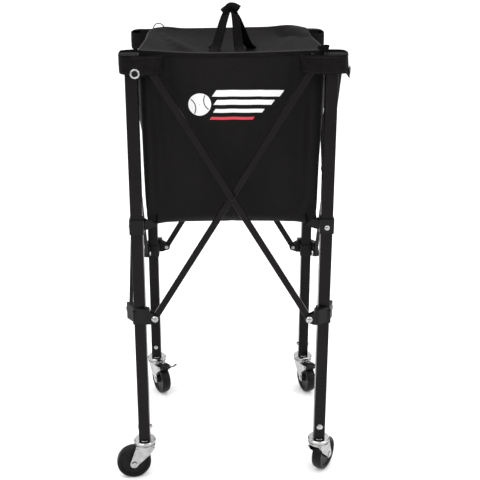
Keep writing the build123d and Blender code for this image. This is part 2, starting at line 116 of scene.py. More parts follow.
def make_studio():
    scene = bpy.context.scene
    world = bpy.data.worlds.new("studio")
    world.use_nodes = True
    tree = world.node_tree
    background = tree.nodes["Background"]
    background.inputs["Strength"].default_value = SKY_STRENGTH
    split = tree.nodes.new("ShaderNodeSeparateXYZ")
    ramp = tree.nodes.new("ShaderNodeValToRGB")  # a pale ceiling over darker walls, for the metal to mirror
    tree.links.new(tree.nodes.new("ShaderNodeTexCoord").outputs["Generated"], split.inputs["Vector"])
    tree.links.new(split.outputs["Z"], ramp.inputs["Fac"])
    tree.links.new(ramp.outputs["Color"], background.inputs["Color"])
    low, high = ramp.color_ramp.elements
    low.position, low.color = 0.10, (0.22, 0.22, 0.22, 1.0)
    high.position, high.color = 0.50, (1.0, 1.0, 1.0, 1.0)
    scene.world = world
    scene.view_settings.view_transform = "Standard"
    area_light("key", (-1.5, -1.9, 2.4), (0, 0, 0.7), (2.2, 2.2), 24)
    area_light("fill", (1.9, -1.3, 1.5), (0, 0, 0.6), (1.4, 2.0), 12)
    area_light("top", (0.0, 0.3, 2.8), (0, 0, 0.8), (2.4, 2.0), 22)
    floor = add_object("floor", bpy.data.meshes.new("floor"))
    bm = bmesh.new()
    bmesh.ops.create_grid(bm, x_segments=1, y_segments=1, size=FLOOR_HALF)
    bm.to_mesh(floor.data)
    bm.free()
    floor.data.materials.append(floor_material())


# ---------------------------------------------------------------- materials

def floor_material():
    material = bpy.data.materials.new("floor")
    material.use_nodes = True
    shader = material.node_tree.nodes["Principled BSDF"]
    shader.inputs["Base Color"].default_value = (FLOOR_GREY, FLOOR_GREY, FLOOR_GREY, 1.0)
    shader.inputs["Roughness"].default_value = 0.9
    return material


class Nodes:
    """Short calls for building one material's node tree."""

    def __init__(self, name):
        self.material = bpy.data.materials.new(name)
        self.material.use_nodes = True
        self.tree = self.material.node_tree
        self.shader = self.tree.nodes["Principled BSDF"]

    def fill(self, node, sockets):
        """Gives a node's sockets their values, or links them where the value is another node's output."""
        for key, value in sockets.items():
            if isinstance(value, bpy.types.NodeSocket):
                self.tree.links.new(value, node.inputs[key])
            else:
                node.inputs[key].default_value = value

    def new(self, kind, sockets, **settings):
        node = self.tree.nodes.new(kind)
        for key, value in settings.items():
            setattr(node, key, value)
        self.fill(node, sockets)
        return node

    def coordinates(self, kind, scale=(1, 1, 1)):
        source = self.new("ShaderNodeTexCoord", {}).outputs[kind]
        return self.new("ShaderNodeMapping", {"Scale": scale, "Vector": source}).outputs["Vector"]

    def noise(self, vector, scale, detail=2.0, rough=0.5):
        sockets = {"Scale": scale, "Detail": detail, "Roughness": rough, "Vector": vector}
        return self.new("ShaderNodeTexNoise", sockets).outputs["Fac"]

    def wave(self, vector, scale, direction):
        sockets = {"Scale": scale, "Distortion": 0.0, "Vector": vector}
        return self.new("ShaderNodeTexWave", sockets, bands_direction=direction).outputs["Fac"]

    def math(self, operation, a, b):
        return self.new("ShaderNodeMath", {0: a, 1: b}, operation=operation).outputs[0]

    def ramp(self, factor, stops):
        """stops are (place, colour or grey) pairs."""
        node = self.new("ShaderNodeValToRGB", {"Fac": factor})
        elements = node.color_ramp.elements
        while len(elements) < len(stops):
            elements.new(0.5)
        for element, (place, colour) in zip(elements, stops):
            element.position = place
            element.color = (*colour, 1.0) if isinstance(colour, tuple) else (colour, colour, colour, 1.0)
        return node.outputs["Color"]

    def bump(self, height, strength, distance, **under):
        """under may give the Normal that this relief lies on."""
        sockets = {"Strength": strength, "Distance": distance, "Height": height, **under}
        return self.new("ShaderNodeBump", sockets).outputs["Normal"]

    def finish(self, colour, roughness, **others):
        """others are sockets of the shader, with _ for the spaces in their names."""
        sockets = {key.replace("_", " "): value for key, value in others.items()}
        self.fill(self.shader, {"Base Color": colour, "Roughness": roughness, **sockets})
        return self.material


# A wave texture at scale 1 has one band each pi/10 along its axis, so this many bands per metre need:
BANDS = 2 * pi / 20
YARN_PITCH = 0.0009  # one thread of the bag's nylon
RIB_PITCH, CROSS_PITCH = 0.0016, 0.0011  # one rib of the webbing, along and across it


def powder_coat():
    """Black semi-gloss powder coat: orange peel, faint handling marks and dust."""
    n = Nodes("powder_coat")
    where = n.coordinates("Object")
    peel = n.noise(where, 900, 1.0)
    cloud = n.noise(where, 14, 3.0)
    scratch = n.noise(n.coordinates("Object", (1, 1, 0.05)), 420, 2.0)
    colour = n.ramp(cloud, [(0.3, (0.0036, 0.0027, 0.0029)), (0.75, (0.0060, 0.0046, 0.0048))])
    marks = n.ramp(scratch, [(0.62, 0.0), (0.8, 0.16)])
    rough = n.math("ADD", n.ramp(cloud, [(0.35, 0.24), (0.7, 0.36)]), marks)
    return n.finish(colour, rough, Normal=n.bump(peel, 0.12, 0.0002), Specular_IOR_Level=0.11)


def moulded_plastic():
    """Black glass-filled nylon with a fine spark texture."""
    n = Nodes("moulded_plastic")
    where = n.coordinates("Object")
    grain = n.noise(where, 1500, 2.0)
    cloud = n.noise(where, 25, 3.0)
    colour = n.ramp(cloud, [(0.3, (0.0040, 0.0038, 0.0038)), (0.75, (0.0070, 0.0066, 0.0066))])
    rough = n.ramp(cloud, [(0.3, 0.34), (0.75, 0.48)])
    return n.finish(colour, rough, Normal=n.bump(grain, 0.25, 0.0002), Specular_IOR_Level=0.13)


def zinc(name, dull):
    """Bright zinc plate with a slightly cloudy passivated film."""
    n = Nodes(name)
    where = n.coordinates("Object")
    cloud = n.noise(where, 60, 3.0)
    fine = n.noise(where, 1200, 2.0)
    colour = n.ramp(cloud, [(0.3, (0.31, 0.315, 0.325)), (0.7, (0.47, 0.465, 0.455))])
    film = n.ramp(cloud, [(0.3, dull), (0.7, dull + 0.08)])
    rough = n.math("ADD", film, n.ramp(fine, [(0.4, 0.0), (0.8, 0.06)]))
    return n.finish(colour, rough, Normal=n.bump(fine, 0.06, 0.0001), Metallic=1.0)


def tread_rubber():
    """Hard black moulded wheel, satin with a scuffed tread."""
    n = Nodes("tread_rubber")
    where = n.coordinates("Object")
    scuff = n.noise(where, 70, 4.0, 0.65)
    fine = n.noise(where, 900, 2.0)
    colour = n.ramp(scuff, [(0.35, (0.0034, 0.0029, 0.0029)), (0.8, (0.0085, 0.0076, 0.0072))])
    rough = n.ramp(scuff, [(0.3, 0.30), (0.8, 0.50)])
    return n.finish(colour, rough, Normal=n.bump(fine, 0.12, 0.0002), Specular_IOR_Level=0.12)


def woven(name, dark, light, rough, sheen, gloss):
    """Plain-weave coated nylon. UVs are in metres."""
    n = Nodes(name)
    flat = n.coordinates("UV")
    across = n.wave(flat, BANDS / YARN_PITCH, "X")
    along = n.wave(flat, BANDS / YARN_PITCH, "Y")
    thread = n.math("MULTIPLY", across, along)
    slub = n.noise(n.coordinates("UV", (1, 18, 1)), 60, 3.0)
    stain = n.noise(flat, 9, 4.0, 0.6)
    blend = n.math("ADD", n.math("MULTIPLY", stain, 0.65), n.math("MULTIPLY", slub, 0.35))
    colour = n.ramp(blend, [(0.32, dark), (0.68, light)])
    worn = n.ramp(stain, [(0.3, rough), (0.7, rough + 0.12)])
    roughness = n.math("ADD", worn, n.math("MULTIPLY", thread, 0.08))
    fine = n.bump(thread, 0.5, YARN_PITCH * 0.35)
    uneven = n.bump(n.noise(flat, 240, 3.0), 0.18, 0.0004, Normal=fine)
    coat = {"Sheen_Weight": sheen, "Sheen_Roughness": 0.5, "Specular_IOR_Level": gloss}
    return n.finish(colour, roughness, Normal=uneven, **coat)


def webbing_cloth():
    """Ribbed nylon webbing, with finer ribs across the coarse ones."""
    n = Nodes("webbing_cloth")
    flat = n.coordinates("UV")
    ribs = n.wave(flat, BANDS / RIB_PITCH, "X")
    cross = n.wave(flat, BANDS / CROSS_PITCH, "Y")
    weave = n.math("ADD", n.math("MULTIPLY", ribs, 0.7), n.math("MULTIPLY", cross, 0.3))
    wear = n.noise(flat, 35, 4.0, 0.6)
    colour = n.ramp(wear, [(0.3, (0.0052, 0.0047, 0.0047)), (0.75, (0.0100, 0.0091, 0.0089))])
    rough = n.ramp(wear, [(0.3, 0.52), (0.75, 0.70)])
    return n.finish(colour, rough, Normal=n.bump(weave, 0.5, 0.0005), Specular_IOR_Level=0.02)


def print_ink(name, colour):
    """Screen-printed ink that lets the weave show through."""
    n = Nodes(name)
    where = n.coordinates("Object")
    fine = n.noise(where, 700, 2.0)
    worn = tuple(c * 0.86 for c in colour)
    tint = n.ramp(fine, [(0.35, worn), (0.6, colour)])
    rough = n.ramp(fine, [(0.3, 0.45), (0.7, 0.6)])
    return n.finish(tint, rough, Normal=n.bump(fine, 0.2, 0.0002))


def thread_material():
    """Black sewing thread, also used for the zip's coil and the elastic loop."""
    n = Nodes("thread")
    twist = n.noise(n.coordinates("Object"), 1800, 1.0)
    colour = n.ramp(twist, [(0.3, (0.010, 0.009, 0.009)), (0.7, (0.026, 0.024, 0.023))])
    return n.finish(colour, n.ramp(twist, [(0.3, 0.5), (0.7, 0.65)]), Specular_IOR_Level=0.2)


# ---------------------------------------------------------------- mesh helpers

SHEET_THICK = 0.0011  # the bag's coated nylon


def shaded_mesh(name, vertices, faces, corner_uvs):
    """A smooth-shaded mesh. corner_uvs holds a tuple of (u, v) pairs for each face, or is None."""
    mesh = bpy.data.meshes.new(name)
    mesh.from_pydata([tuple(v) for v in vertices], [], faces)
    mesh.shade_smooth()
    if corner_uvs is not None:
        layer = mesh.uv_layers.new(name="metres")
        for polygon, uv in zip(mesh.polygons, corner_uvs):
            for loop, place in zip(polygon.loop_indices, uv):
                layer.data[loop].uv = place
    return mesh


def link_mesh(name, vertices, faces, material, uvs=None):
    """uvs is one (u, v) per vertex."""
    corner_uvs = None if uvs is None else [tuple(uvs[v] for v in face) for face in faces]
    mesh = shaded_mesh(name, vertices, faces, corner_uvs)
    mesh.materials.append(material)
    return add_object(name, mesh)


def ring_faces(rings, sides):
    """The faces between neighbouring rings of vertices."""
    faces = []
    for k in range(rings - 1):
        for j in range(sides):
            a, b = k * sides + j, k * sides + (j + 1) % sides
            faces.append((a, b, b + sides, a + sides))
    return faces


def capped_faces(rings, sides):
    """The same, with both ends closed."""
    caps = [tuple(range(sides))[::-1], tuple(range((rings - 1) * sides, rings * sides))]
    return ring_faces(rings, sides) + caps


def tangent_at(line, k):
    return (line[min(k + 1, len(line) - 1)] - line[max(k - 1, 0)]).normalized()


def through(points, steps):
    """A smooth curve through the points, with this many steps between each two."""
    points = [Vector(p) for p in points]
    ends = [points[0] * 2 - points[1], *points, points[-1] * 2 - points[-2]]
    line = []
    for a, b, c, d in zip(ends, ends[1:], ends[2:], ends[3:]):
        for k in range(steps):
            t = k / steps
            square, cube = (2 * a - 5 * b + 4 * c - d) * t**2, (3 * b - a - 3 * c + d) * t**3
            line.append(0.5 * (2 * b + (c - a) * t + square + cube))
    line.append(points[-1])
    return line


def closed_sheet(name, vertices, faces, uvs, normals, material, thick=SHEET_THICK):
    """A thin closed sheet from one layer of faces: vertices moved both ways along shared normals."""
    used = sorted({v for face in faces for v in face})
    index = {v: k for k, v in enumerate(used)}
    count = len(used)
    lift = thick / 2
    places = [vertices[v] + normals[v] * lift for v in used] + [vertices[v] - normals[v] * lift for v in used]
    shell, corner_uvs = [], []
    edges = {}
    for face, uv in zip(faces, uvs):
        top = [index[v] for v in face]
        shell.append(tuple(top))
        corner_uvs.append(uv)
        shell.append(tuple(v + count for v in reversed(top)))
        corner_uvs.append(tuple(reversed(uv)))
        for k in range(len(top)):
            a, b = top[k], top[(k + 1) % len(top)]
            edges.setdefault(frozenset((a, b)), []).append((a, b, uv[k], uv[(k + 1) % len(uv)]))
    for found in edges.values():
        if len(found) == 1:
            a, b, uv_a, uv_b = found[0]
            shell.append((b, a, a + count, b + count))
            corner_uvs.append((uv_b, uv_a, uv_a, uv_b))
    mesh = shaded_mesh(name, places, shell, corner_uvs)
    both = [tuple(normals[v]) for v in used] + [tuple(-normals[v]) for v in used]
    mesh.normals_split_custom_set_from_vertices(both)
    mesh.materials.append(material)
    return add_object(name, mesh)


def grid_sheet(name, rows, thick, material):
    """A closed thin sheet over rows of points. Its face looks along (next row) x (next point in a row)."""
    count, width = len(rows), len(rows[0])
    vertices, normals, places, faces, uvs = [], [], [], [], []
    along = 0.0
    for k, row in enumerate(rows):
        before, after = rows[max(k - 1, 0)], rows[min(k + 1, count - 1)]
        if k:
            along += (row[width // 2] - before[width // 2]).length
        across = 0.0
        for j, point in enumerate(row):
            if j:
                across += (point - row[j - 1]).length
            sideways = row[min(j + 1, width - 1)] - row[max(j - 1, 0)]
            normals.append((after[j] - before[j]).cross(sideways).normalized())
            vertices.append(point)
            places.append((along, across))
    for k in range(count - 1):
        for j in range(width - 1):
            a = k * width + j
            face = (a, a + width, a + width + 1, a + 1)
            faces.append(face)
            uvs.append(tuple(places[v] for v in face))
    return closed_sheet(name, vertices, faces, uvs, normals, material, thick)


def ribbon_rows(line, across, width, cup=0.0):
    """Rows of points for a flat strap along line. across gives its width's direction at each point."""
    shares = [j / 3 - 1 for j in range(7)]
    rows = []
    for k, (centre, side) in enumerate(zip(line, across)):
        tangent = tangent_at(line, k)
        side = (side - tangent * side.dot(tangent)).normalized()
        normal = tangent.cross(side)
        rows.append([centre + side * (share * width / 2) + normal * (cup * share**2) for share in shares])
    return rows


def tube(name, line, radii, material):
    """A round tube along line, with one radius for each of its points."""
    vertices, uvs, sides = [], [], 8
    normal = tangent_at(line, 0).orthogonal()
    along = 0.0
    for k, centre in enumerate(line):
        tangent = tangent_at(line, k)
        normal = (normal - tangent * normal.dot(tangent)).normalized()
        other = tangent.cross(normal)
        along += (centre - line[max(k - 1, 0)]).length
        for j in range(sides):
            turn = 2 * pi * j / sides
            vertices.append(centre + (normal * cos(turn) + other * sin(turn)) * radii[k])
            uvs.append((along, turn * radii[k]))
    return link_mesh(name, vertices, capped_faces(len(line), sides), material, uvs)


STITCH_RADIUS = 0.00035


def stitches(line, up, material, pitch=0.0045, length=0.0030):
    """Separate stitches lying along line. up gives the surface's normal at each point."""
    vertices, faces = [], []
    lengths = [0.0]
    for a, b in zip(line, line[1:]):
        lengths.append(lengths[-1] + (b - a).length)

    def at(s):
        k = 1
        while k < len(line) - 1 and lengths[k] < s:
            k += 1
        t = (s - lengths[k - 1]) / max(lengths[k] - lengths[k - 1], 1e-9)
        return line[k - 1].lerp(line[k], t), up[k - 1].lerp(up[k], t).normalized()

    s = pitch / 2
    while s + length < lengths[-1]:
        base = len(vertices)
        for share, fat, lift in ((0.0, 0.3, 0.0), (0.2, 1.0, 0.6), (0.8, 1.0, 0.6), (1.0, 0.3, 0.0)):
            centre, normal = at(s + share * length)
            ahead, _ = at(s + share * length + 1e-4)
            side = (ahead - centre).normalized().cross(normal).normalized()
            centre = centre + normal * (STITCH_RADIUS * lift)
            for turn in (0, pi / 2, pi, 3 * pi / 2):
                vertices.append(centre + (side * cos(turn) + normal * sin(turn)) * STITCH_RADIUS * fat)
        faces += [tuple(base + v for v in face) for face in capped_faces(4, 4)]
        s += pitch
    return link_mesh("stitches", vertices, faces, material)


def joined(name, pieces):
    """One object from several pieces of one material."""
    bm = bmesh.new()
    for piece in pieces:
        bm.from_mesh(piece.data)
    mesh = bpy.data.meshes.new(name)
    bm.to_mesh(mesh)
    bm.free()
    mesh.materials.append(pieces[0].data.materials[0])
    for piece in pieces:
        bpy.data.objects.remove(piece)
    return add_object(name, mesh)


def bump01(t):
    """A smooth hump, 0 at t = 0 and 1, and 1 in the middle."""
    return sin(pi * min(max(t, 0.0), 1.0))


def near(value, centre, width):
    """1 at centre, falling smoothly to nothing a few widths away."""
    return exp(-(((value - centre) / width) ** 2))


def mix(a, b, t):
    """a at t = -1, b at t = 1, and a straight run between them."""
    return (a * (1 - t) + b * (1 + t)) / 2


def drape(vertices, faces, pins, frames, slack, stiffness, bending, gravity, limit):
    """Where a cloth's vertices settle, none further off than limit. pins maps a vertex to its hold."""
    piece = add_object("drape", shaded_mesh("drape", vertices, faces, None))
    group = piece.vertex_groups.new(name="held")
    for index, hold in pins.items():
        group.add([index], hold, "REPLACE")
    modifier = piece.modifiers.new("Cloth", "CLOTH")
    cloth = modifier.settings
    cloth.vertex_group_mass = "held"
    cloth.quality = 6
    cloth.mass = 0.25
    cloth.air_damping = 3.0
    for kind, share in (("tension", 1), ("compression", 1), ("shear", 1 / 3)):
        setattr(cloth, f"{kind}_stiffness", stiffness * share)
        setattr(cloth, f"{kind}_damping", 12)
    cloth.bending_stiffness = bending
    cloth.pin_stiffness = 4
    cloth.shrink_min = -slack
    cloth.shrink_max = -slack
    cloth.effector_weights.gravity = gravity
    modifier.collision_settings.use_collision = False
    scene = bpy.context.scene
    for number in range(1, frames + 1):
        scene.frame_set(number)
    mesh = bpy.data.meshes.new_from_object(piece.evaluated_get(bpy.context.evaluated_depsgraph_get()))
    settled = []
    for start, vertex in zip(vertices, mesh.vertices):
        move = vertex.co - start
        settled.append(start + move * min(1.0, limit / max(move.length, 1e-9)))
    bpy.data.objects.remove(piece)
    bpy.data.meshes.remove(mesh)
    scene.frame_set(1)
    return settled


# ---------------------------------------------------------------- the bag

CELLS = 44  # cloth cells along one side of the bag
ROWS = 42  # and up one wall
BAG_HEIGHT = BAG_TOP - BAG_BOTTOM
BULGE = {"front": 0.002, "right": 0.012, "rear": 0.006, "left": 0.015}  # how far each side's shoulder swells
BILLOW = {"front": 0.004, "right": 0.017, "rear": 0.010, "left": 0.017}  # how far each whole wall stands out
SIDE_ORDER = ("front", "right", "rear", "left")
TURN = {side: Matrix.Rotation(radians(90 * k), 3, "Z") for k, side in enumerate(SIDE_ORDER)}
OUTWARD = {side: TURN[side] @ Vector((0, -1, 0)) for side in SIDE_ORDER}
SHOULDER = 0.80  # the share of a wall's height where its shoulder starts
RING = 4 * CELLS  # cells once round the bag
CELL = 2 * HALF / CELLS
BAG_DRAPE = {"frames": 34, "slack": 0.014, "stiffness": 18, "bending": 2.0, "gravity": 1.0, "limit": 0.020}
LID_DRAPE = {"frames": 30, "slack": 0.012, "stiffness": 15, "bending": 1.2, "gravity": 0.5, "limit": 0.024}


def rim_point(side, t):
    """The zip line round the bag's mouth. t runs from -1 to 1, left to right as seen from outside."""
    sag = {"front": 0.0055 - 0.0020 * t, "right": 0.001, "rear": -0.0015, "left": -0.004}[side]
    z = BAG_TOP + 0.002 - sag * cos(pi * t / 2) ** 1.2
    if side == "rear":
        z += 0.0070 * near(t, -0.80, 0.22) + 0.0050 * near(t, 0.84, 0.16)
    inward = 0.003 * sin(3.1 * t + 0.7) * (1 - t * t)
    return TURN[side] @ Vector((t * HALF, -(HALF - inward), z))


def wall_point(side, t, rise):
    """A point of one wall: rise is 0 at the bottom and 1 at the zip."""
    top = rim_point(side, t)
    low = TURN[side] @ Vector((t * HALF, -HALF, BAG_BOTTOM))
    point = low.lerp(top, rise)
    shoulder = bump01((rise - SHOULDER) / 0.20) ** 0.8 * (1 - abs(t) ** 4)
    swell = BULGE[side] * shoulder
    billow = BILLOW[side] * bump01(0.08 + 0.90 * rise) ** 0.6 * (1 - abs(t) ** 6)
    point += OUTWARD[side] * (swell + billow)
    point.z += 0.45 * swell * (rise - SHOULDER) / 0.2
    point.z -= 0.011 * near(abs(t), 1.0, 0.13) * max(0.0, 1 - rise * 4)  # the bottom corners droop
    return point


def cell_uvs(u, v, du, dv):
    """A cell's corners, from its own corner round by way of u."""
    return (u, v), (u + du, v), (u + du, v + dv), (u, v + dv)


def bag_grid():
    """Vertices, faces and panel names of the four walls and the bottom, before draping."""
    vertices, faces, panels, uvs = [], [], [], []
    for row in range(ROWS + 1):
        for k in range(RING):
            side = SIDE_ORDER[k // CELLS]
            vertices.append(wall_point(side, 2 * (k % CELLS) / CELLS - 1, row / ROWS))
    step = BAG_HEIGHT / ROWS
    for row in range(ROWS):
        for k in range(RING):
            a, b = row * RING + k, row * RING + (k + 1) % RING
            faces.append((a, b, b + RING, a + RING))
            panels.append(SIDE_ORDER[k // CELLS])
            uvs.append(cell_uvs((k % CELLS) * CELL, row * step, CELL, step))
    # the bottom, from front to rear: its rim is the walls' lowest ring
    place = {}
    for k in range(CELLS):
        rim = ((k, 0), (CELLS, k), (CELLS - k, CELLS), (0, CELLS - k))
        for number, spot in enumerate(rim):
            place[spot] = number * CELLS + k
    for j in range(1, CELLS):
        for i in range(1, CELLS):
            place[i, j] = len(vertices)
            vertices.append(Vector((HALF * (2 * i / CELLS - 1), HALF * (2 * j / CELLS - 1), BAG_BOTTOM)))
    for j in range(CELLS):
        for i in range(CELLS):
            faces.append((place[i, j], place[i, j + 1], place[i + 1, j + 1], place[i + 1, j]))
            panels.append("bottom_front" if j < CELLS // 2 else "bottom_rear")
            a, b, c, d = cell_uvs(i * CELL, j * CELL, CELL, CELL)
            uvs.append((a, d, c, b))
    return vertices, faces, panels, uvs


def bag_holds():
    """How firmly each vertex of the bag is held while it drapes."""
    holds = {}
    for row in range(ROWS + 1):
        rise = row / ROWS
        for k in range(RING):
            t = abs(2 * (k % CELLS) / CELLS - 1)
            if rise > 0.90 and t > 0.74:
                hold = 0.8  # sewn to the corner strap
            elif row == ROWS or (row == 0 and t > 0.955):
                hold = 1.0  # the zip, and the corner bolted to the ear
            else:
                hold = 0.12 if rise > SHOULDER else 0.0
            if hold:
                holds[row * RING + k] = hold
    return holds


CREASE_DEPTH = 1.5
# Creases as x and z (or, on the lid, y) of both ends, then width and depth. A negative depth presses inward.
FRONT_FOLDS = (  # a middle crease, a packing fold, the slack beside each leg, and pulls to the bottom corners
    (0.012, 0.985, 0.016, 0.925, 0.006, -0.0030),
    (-0.10, 0.946, 0.10, 0.943, 0.008, -0.0016),
    (-0.158, 0.95, -0.150, 0.66, 0.010, -0.0060),
    (-0.172, 0.93, -0.168, 0.66, 0.008, 0.0045),
    (0.150, 0.94, 0.143, 0.68, 0.011, -0.0055),
    (0.166, 0.93, 0.160, 0.67, 0.008, 0.0045),
    (-0.105, 0.64, -0.16, 0.70, 0.012, -0.0035),
    (0.105, 0.64, 0.16, 0.70, 0.012, -0.0035),
)
LID_FOLDS = (
    (-0.17, 0.15, -0.05, -0.15, 0.016, 0.010),
    (-0.15, 0.12, -0.09, -0.16, 0.018, -0.007),
    (0.17, 0.16, 0.08, -0.10, 0.020, 0.006),
    (0.175, 0.05, 0.12, 0.16, 0.010, -0.006),
    (-0.02, -0.16, 0.15, -0.14, 0.012, -0.004),
)


def creased(point, a, b, width, depth):
    """How far the crease from a to b moves a point."""
    along = b - a
    t = max(0.0, min(1.0, (point - a).dot(along) / along.length_squared))
    gap = (point - a - along * t).length
    fade = 0.35 + 0.65 * bump01(0.1 + 0.8 * t)
    return CREASE_DEPTH * depth * fade * near(gap, 0.0, width)


def refined(vertices, faces, uvs, tags):
    """One round of subdivision: vertices, faces, uvs and tags of the finer sheet."""
    mesh = shaded_mesh("coarse", vertices, faces, uvs)
    names = sorted(set(tags))
    for polygon, tag in zip(mesh.polygons, tags):
        polygon.material_index = names.index(tag)
    for _ in names:
        mesh.materials.append(None)
    piece = add_object("coarse", mesh)
    modifier = piece.modifiers.new("Subdivision", "SUBSURF")
    modifier.levels = 1
    modifier.boundary_smooth = "PRESERVE_CORNERS"
    modifier.uv_smooth = "NONE"
    fine = bpy.data.meshes.new_from_object(piece.evaluated_get(bpy.context.evaluated_depsgraph_get()))
    places = [v.co.copy() for v in fine.vertices]
    fine_faces = [tuple(p.vertices) for p in fine.polygons]
    fine_uvs = [tuple(tuple(fine.uv_layers[0].data[k].uv) for k in p.loop_indices) for p in fine.polygons]
    fine_tags = [names[p.material_index] for p in fine.polygons]
    bpy.data.objects.remove(piece)
    bpy.data.meshes.remove(mesh)
    bpy.data.meshes.remove(fine)
    return places, fine_faces, fine_uvs, fine_tags


def smooth_normals(vertices, faces):
    """The area-weighted normal at each vertex of a sheet of four-cornered faces."""
    normals = [Vector() for _ in vertices]
    for face in faces:
        a, b, c, d = (vertices[v] for v in face)
        whole = (c - a).cross(d - b)
        for v in face:
            normals[v] += whole
    return [n.normalized() if n.length else UP for n in normals]


def cut(names, vertices, faces, uvs, tags, cloth):
    """Refines a surface and makes a closed sheet of each tagged part. names gives the pieces' names."""
    vertices, faces, uvs, tags = refined(vertices, faces, uvs, tags)
    normals = smooth_normals(vertices, faces)
    made = {}
    for tag, name in names.items():
        chosen = [k for k, found in enumerate(tags) if found == tag]
        some_faces = [faces[k] for k in chosen]
        made[tag] = closed_sheet(name, vertices, some_faces, [uvs[k] for k in chosen], normals, cloth)
    return made, vertices


def make_bag(cloth):
    """The walls and both halves of the bottom, draped as one bag and then cut along its seams."""
    vertices, faces, panels, uvs = bag_grid()
    vertices = drape(vertices, faces, bag_holds(), **BAG_DRAPE)
    folds = []
    for x0, z0, x1, z1, width, depth in FRONT_FOLDS:
        folds.append((Vector((x0, -HALF, z0)), Vector((x1, -HALF, z1)), width, depth))
    for row in range(1, ROWS):
        for k in range(row * RING, row * RING + CELLS + 1):
            point = vertices[k]
            vertices[k] = point + OUTWARD["front"] * sum(creased(point, *fold) for fold in folds)
    names = {side: f"bag_{side}_wall_cloth" for side in SIDE_ORDER}
    for part in ("bottom_front", "bottom_rear"):
        names[part] = f"bag_{part}_cloth"
    return cut(names, vertices, faces, uvs, panels, cloth)[0]


# ---------------------------------------------------------------- the lid

def lid_height(x, y):
    """Height of the lid's designed drape over its rim, before the cloth settles."""
    u, v = x / HALF, y / HALF
    belly = (1 - u * u) * (1 - v * v)
    z = -0.016 * belly
    z += 0.010 * near(v, 0.72, 0.30) * (1 - abs(u) ** 3) * (0.6 + 0.4 * u)
    z += 0.007 * near(v, 0.45, 0.35) * near(u, 0.55, 0.4)
    return z


MIDDLE_ROW = CELLS // 2
HEM_ROW = CELLS - 4
LID_LIFT = 0.0012  # from the zip line up to the lid's middle layer


def lid_row(j):
    """Place of a row of the lid from front (-1) to rear (1): one row lies on each of its two fold lines."""
    if j <= MIDDLE_ROW:
        return j / MIDDLE_ROW - 1
    hem = HEM_Y / HALF
    if j <= HEM_ROW:
        return hem * (j - MIDDLE_ROW) / (HEM_ROW - MIDDLE_ROW)
    return hem + (1 - hem) * (j - HEM_ROW) / (CELLS - HEM_ROW)


def make_lid(cloth):
    """The lid's three parts, draped as one sheet and cut along its two fold lines, and its vertices."""
    vertices, faces, uvs, tags, rim = [], [], [], [], set()
    corner_z = rim_point("front", -1).z
    for j in range(CELLS + 1):
        for i in range(CELLS + 1):
            s, t = 2 * i / CELLS - 1, lid_row(j)
            front, rear = rim_point("front", s), rim_point("rear", -s)
            left, right = rim_point("left", -t), rim_point("right", t)
            x, y = mix(left.x, right.x, s), mix(front.y, rear.y, t)
            z = mix(front.z, rear.z, t) + mix(left.z, right.z, s) - corner_z + LID_LIFT + lid_height(x, y)
            vertices.append(Vector((x, y, z)))
            if i in (0, CELLS) or j in (0, CELLS):
                rim.add(len(vertices) - 1)
    width = CELLS + 1
    for j in range(CELLS):
        for i in range(CELLS):
            a = j * width + i
            faces.append((a, a + 1, a + 1 + width, a + width))
            v = HALF * lid_row(j)
            uvs.append(cell_uvs(i * CELL, v, CELL, HALF * lid_row(j + 1) - v))
            tags.append("front" if j < MIDDLE_ROW else "rear" if j < HEM_ROW else "hem")
    vertices = drape(vertices, faces, dict.fromkeys(rim, 1.0), **LID_DRAPE)
    folds = []
    for x0, y0, x1, y1, wide, depth in LID_FOLDS:
        folds.append((Vector((x0, y0, 0)), Vector((x1, y1, 0)), wide, depth))
    for k, point in enumerate(vertices):
        if k not in rim:
            flat = Vector((point.x, point.y, 0))
            vertices[k] = point + UP * sum(creased(flat, *fold) for fold in folds)
    for row, y in ((MIDDLE_ROW, 0.0), (HEM_ROW, HEM_Y)):
        for k in range(row * width, (row + 1) * width):
            vertices[k].y = y
    names = {part: f"bag_lid_{part}_cloth" for part in ("front", "rear", "hem")}
    return cut(names, vertices, faces, uvs, tags, cloth)


def height_over(vertices, x, y):
    """The lid's height nearest to (x, y)."""
    return min(vertices, key=lambda v: (v.x - x) ** 2 + (v.y - y) ** 2).z


# ---------------------------------------------------------------- corner straps

STRAP_THICK = 0.0022
STRAP_SEAMS = (4, 8, 24, -5, -9)  # points of the strap's route where a seam runs up it
GROMMET_Y, GROMMET_Z = -0.193, STRAP_LOW + 0.0020  # on each strap's right-hand face
TONGUE = {corner: 0.0085 for corner in CORNERS}  # how far each strap hangs lower round its grommet
TONGUE["front_right"] = 0.0130
CURL = {corner: 0.0 for corner in CORNERS}  # and how far its lower edge has curled outward
CURL["front_right"] = 0.0055
CAP_ROUND = 0.023  # radius of a strap top's outer corner
CAP_INSET = 0.0006  # from the band's middle layer in to the top's edge
CAP_CELLS = 14
GROMMET_RING = [(0.0060, -0.0006), (0.0063, 0.0008), (0.0074, 0.0016), (0.0087, 0.0014), (0.0098, 0.0002)]
# a flat dark disc inside the grommet's ring: painted shade standing for its hole
GROMMET_HOLE_SHADE = [(0.0, -0.0002), (0.0064, -0.0002)]


def turned(corner, points):
    """Points modelled at the front right corner, moved to another one."""
    turn = Matrix.Rotation(radians(90 * CORNERS.index(corner)), 3, "Z")
    return [turn @ Vector(p) for p in points]


